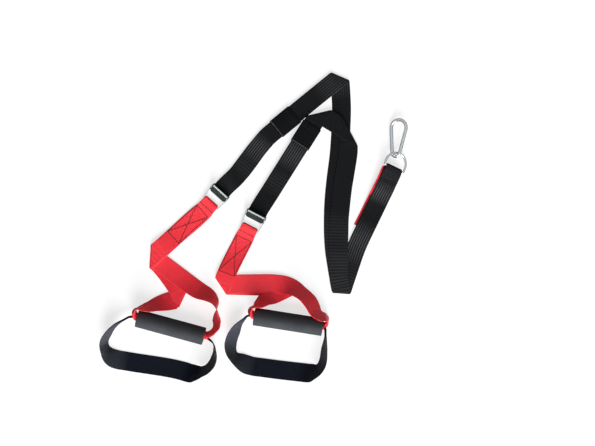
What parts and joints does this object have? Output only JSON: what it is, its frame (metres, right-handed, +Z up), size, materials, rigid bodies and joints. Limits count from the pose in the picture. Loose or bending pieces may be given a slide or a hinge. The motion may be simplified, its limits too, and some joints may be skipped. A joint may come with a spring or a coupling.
{
  "type": "suspension strap trainer",
  "caption": "Suspension strap trainer: snap hook, D-ring, two adjustable long straps with cam buckles, webbing handles with foam grips and foot loops.",
  "frame": {"origin": "middle of the footprint, at floor level", "axes": "+Z up from the floor, +Y towards the anchor end, +X to the right of a user who faces the anchor end; the trainer lies flat"},
  "size_m": [0.6119, 0.6205, 0.0409],
  "materials": {
    "red_webbing": "woven polyester",
    "black_webbing": "woven polyester",
    "loop_webbing": "woven polyester",
    "foam": "soft closed-cell foam",
    "tube": "matt",
    "cam_steel": "zinc plated",
    "frame_steel": "zinc plated",
    "spring_steel": "drawn wire",
    "pin_steel": "zinc plated",
    "hook_steel": "zinc plated"
  },
  "bodies": {
    "webbing": {"anchor_backing": "red_webbing", "left_long_strap": "black_webbing", "right_long_strap": "black_webbing", "left_buckle_frame": "frame_steel", "right_buckle_frame": "frame_steel", "left_buckle_pin": "pin_steel", "right_buckle_pin": "pin_steel", "left_buckle_spring": "spring_steel", "right_buckle_spring": "spring_steel"},
    "d_ring": {"d_ring": "hook_steel"},
    "hook": {"snap_hook_body": "hook_steel", "gate_pivot_pin": "pin_steel"},
    "gate": {"snap_hook_gate": "hook_steel", "gate_latch_pin": "pin_steel", "gate_plunger": "pin_steel", "gate_spring": "spring_steel"},
    "left_cam": {"left_buckle_cam": "cam_steel"},
    "right_cam": {"right_buckle_cam": "cam_steel"},
    "left_handle": {"left_red_strap": "red_webbing"},
    "right_handle": {"right_red_strap": "red_webbing"},
    "left_grip": {"left_grip_foam": "foam", "left_grip_core": "tube"},
    "right_grip": {"right_grip_foam": "foam", "right_grip_core": "tube"},
    "left_loop": {"left_foot_loop": "loop_webbing"},
    "right_loop": {"right_foot_loop": "loop_webbing"},
    "left_sleeve": {"left_keeper": "black_webbing"},
    "right_sleeve": {"right_keeper": "black_webbing"}
  },
  "joints": [
    {"name": "ring_swing", "type": "hinge", "parent": "webbing", "child": "d_ring", "pos_m": [0.27623, 0.11787, 0.01407], "axis": [0.8513, -0.4115, -0.3256], "range_deg": [0, 80]},
    {"name": "hook_swing", "type": "hinge", "parent": "d_ring", "child": "hook", "pos_m": [0.28856, 0.14712, 0.00932], "axis": [0.8513, -0.4115, -0.3256], "range_deg": [0, 45]},
    {"name": "gate_pivot", "type": "hinge", "parent": "hook", "child": "gate", "pos_m": [0.29, 0.15786, 0.01749], "axis": [-0.4975, 0.0505, 0.866], "range_deg": [0, 25], "stiffness_Nm_per_rad": 0.03, "springref_deg": -17.19},
    {"name": "left_cam_pivot", "type": "hinge", "parent": "webbing", "child": "left_cam", "pos_m": [-0.07147, 0.06908, 0.0108], "axis": [-0.7431, 0.6691, 0], "range_deg": [0, 33], "stiffness_Nm_per_rad": 0.02, "springref_deg": -17.19},
    {"name": "left_handle_swing", "type": "hinge", "parent": "webbing", "child": "left_handle", "pos_m": [-0.0882, 0.0505, 0.0042], "axis": [-0.7431, 0.6691, 0], "range_deg": [0, 60]},
    {"name": "right_cam_pivot", "type": "hinge", "parent": "webbing", "child": "right_cam", "pos_m": [0.00074, 0.02278, 0.0108], "axis": [-0.887, 0.4617, 0], "range_deg": [0, 33], "stiffness_Nm_per_rad": 0.02, "springref_deg": -17.19},
    {"name": "right_handle_swing", "type": "hinge", "parent": "webbing", "child": "right_handle", "pos_m": [-0.0108, 0.0006, 0.0042], "axis": [-0.887, 0.4617, 0], "range_deg": [0, 60]},
    {"name": "left_grip_spin", "type": "hinge", "parent": "left_handle", "child": "left_grip", "pos_m": [-0.1681, -0.1984, 0.0181], "axis": [0.965, -0.2622, 0], "continuous": true},
    {"name": "left_loop_swing", "type": "hinge", "parent": "left_handle", "child": "left_loop", "pos_m": [-0.1681, -0.1984, 0.0181], "axis": [-0.965, 0.2622, 0], "range_deg": [0, 70]},
    {"name": "right_grip_spin", "type": "hinge", "parent": "right_handle", "child": "right_grip", "pos_m": [0.066, -0.1875, 0.0181], "axis": [0.988, -0.1547, 0], "continuous": true},
    {"name": "right_loop_swing", "type": "hinge", "parent": "right_handle", "child": "right_loop", "pos_m": [0.066, -0.1875, 0.0181], "axis": [-0.988, 0.1547, 0], "range_deg": [0, 70]},
    {"name": "left_keeper_slide", "type": "slide", "parent": "webbing", "child": "left_sleeve", "axis": [-0.7716, -0.6361, 0], "range_m": [0, 0.014]},
    {"name": "right_keeper_slide", "type": "slide", "parent": "webbing", "child": "right_sleeve", "axis": [-0.5324, -0.8464, -0.0142], "range_m": [0, 0.025]}
  ]
}
